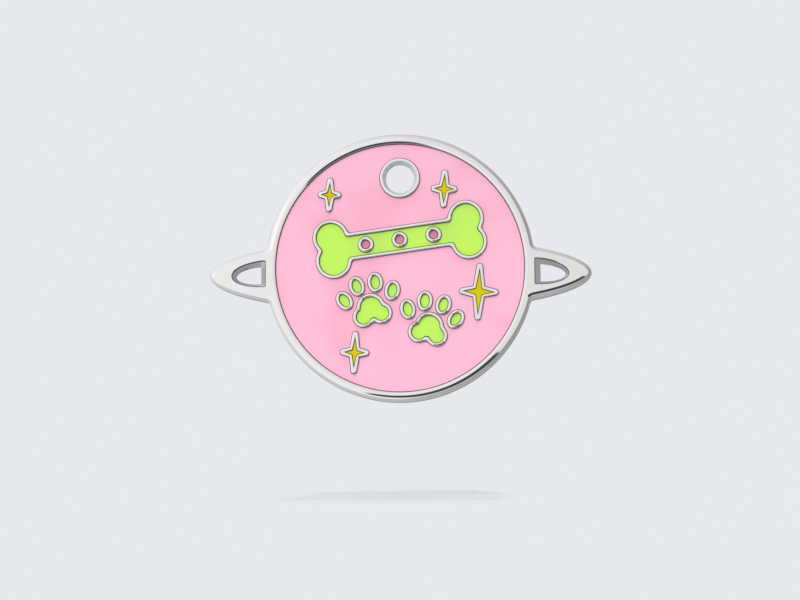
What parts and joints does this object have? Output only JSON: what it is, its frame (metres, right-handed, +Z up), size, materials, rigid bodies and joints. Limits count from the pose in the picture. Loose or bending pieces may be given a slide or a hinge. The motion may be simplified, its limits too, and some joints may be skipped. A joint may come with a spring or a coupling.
{
  "type": "pet id tag",
  "caption": "Round enamelled metal pet tag with a raised rim, a hanging hole at the top and two pointed ring ears with D-shaped openings.",
  "frame": {"origin": "centre of the hanging hole, on the hole's axis, half way through the metal", "axes": "+Z up as the tag hangs, -Y out of the enamelled front, +X to the right as the front is seen"},
  "size_m": [0.0446, 0.002, 0.0314],
  "materials": {
    "metal": "bright nickel plate over a zinc alloy casting, polished in front, satin behind",
    "pink_enamel": "glossy soft enamel",
    "lime_enamel": "glossy soft enamel",
    "deep_pink_enamel": "glossy soft enamel",
    "yellow_enamel": "glossy soft enamel"
  },
  "bodies": {
    "root": {"casting": "metal", "pink_field": "pink_enamel", "bone": "lime_enamel", "bone_dot_left": "deep_pink_enamel", "bone_dot_middle": "deep_pink_enamel", "bone_dot_right": "deep_pink_enamel", "left_paw_pad": "lime_enamel", "left_paw_toe_1": "lime_enamel", "left_paw_toe_2": "lime_enamel", "left_paw_toe_3": "lime_enamel", "left_paw_toe_4": "lime_enamel", "right_paw_pad": "lime_enamel", "right_paw_toe_1": "lime_enamel", "right_paw_toe_2": "lime_enamel", "right_paw_toe_3": "lime_enamel", "right_paw_toe_4": "lime_enamel", "star_top_left": "yellow_enamel", "star_top_right": "yellow_enamel", "star_right": "yellow_enamel", "star_bottom": "yellow_enamel"}
  },
  "joints": []
}
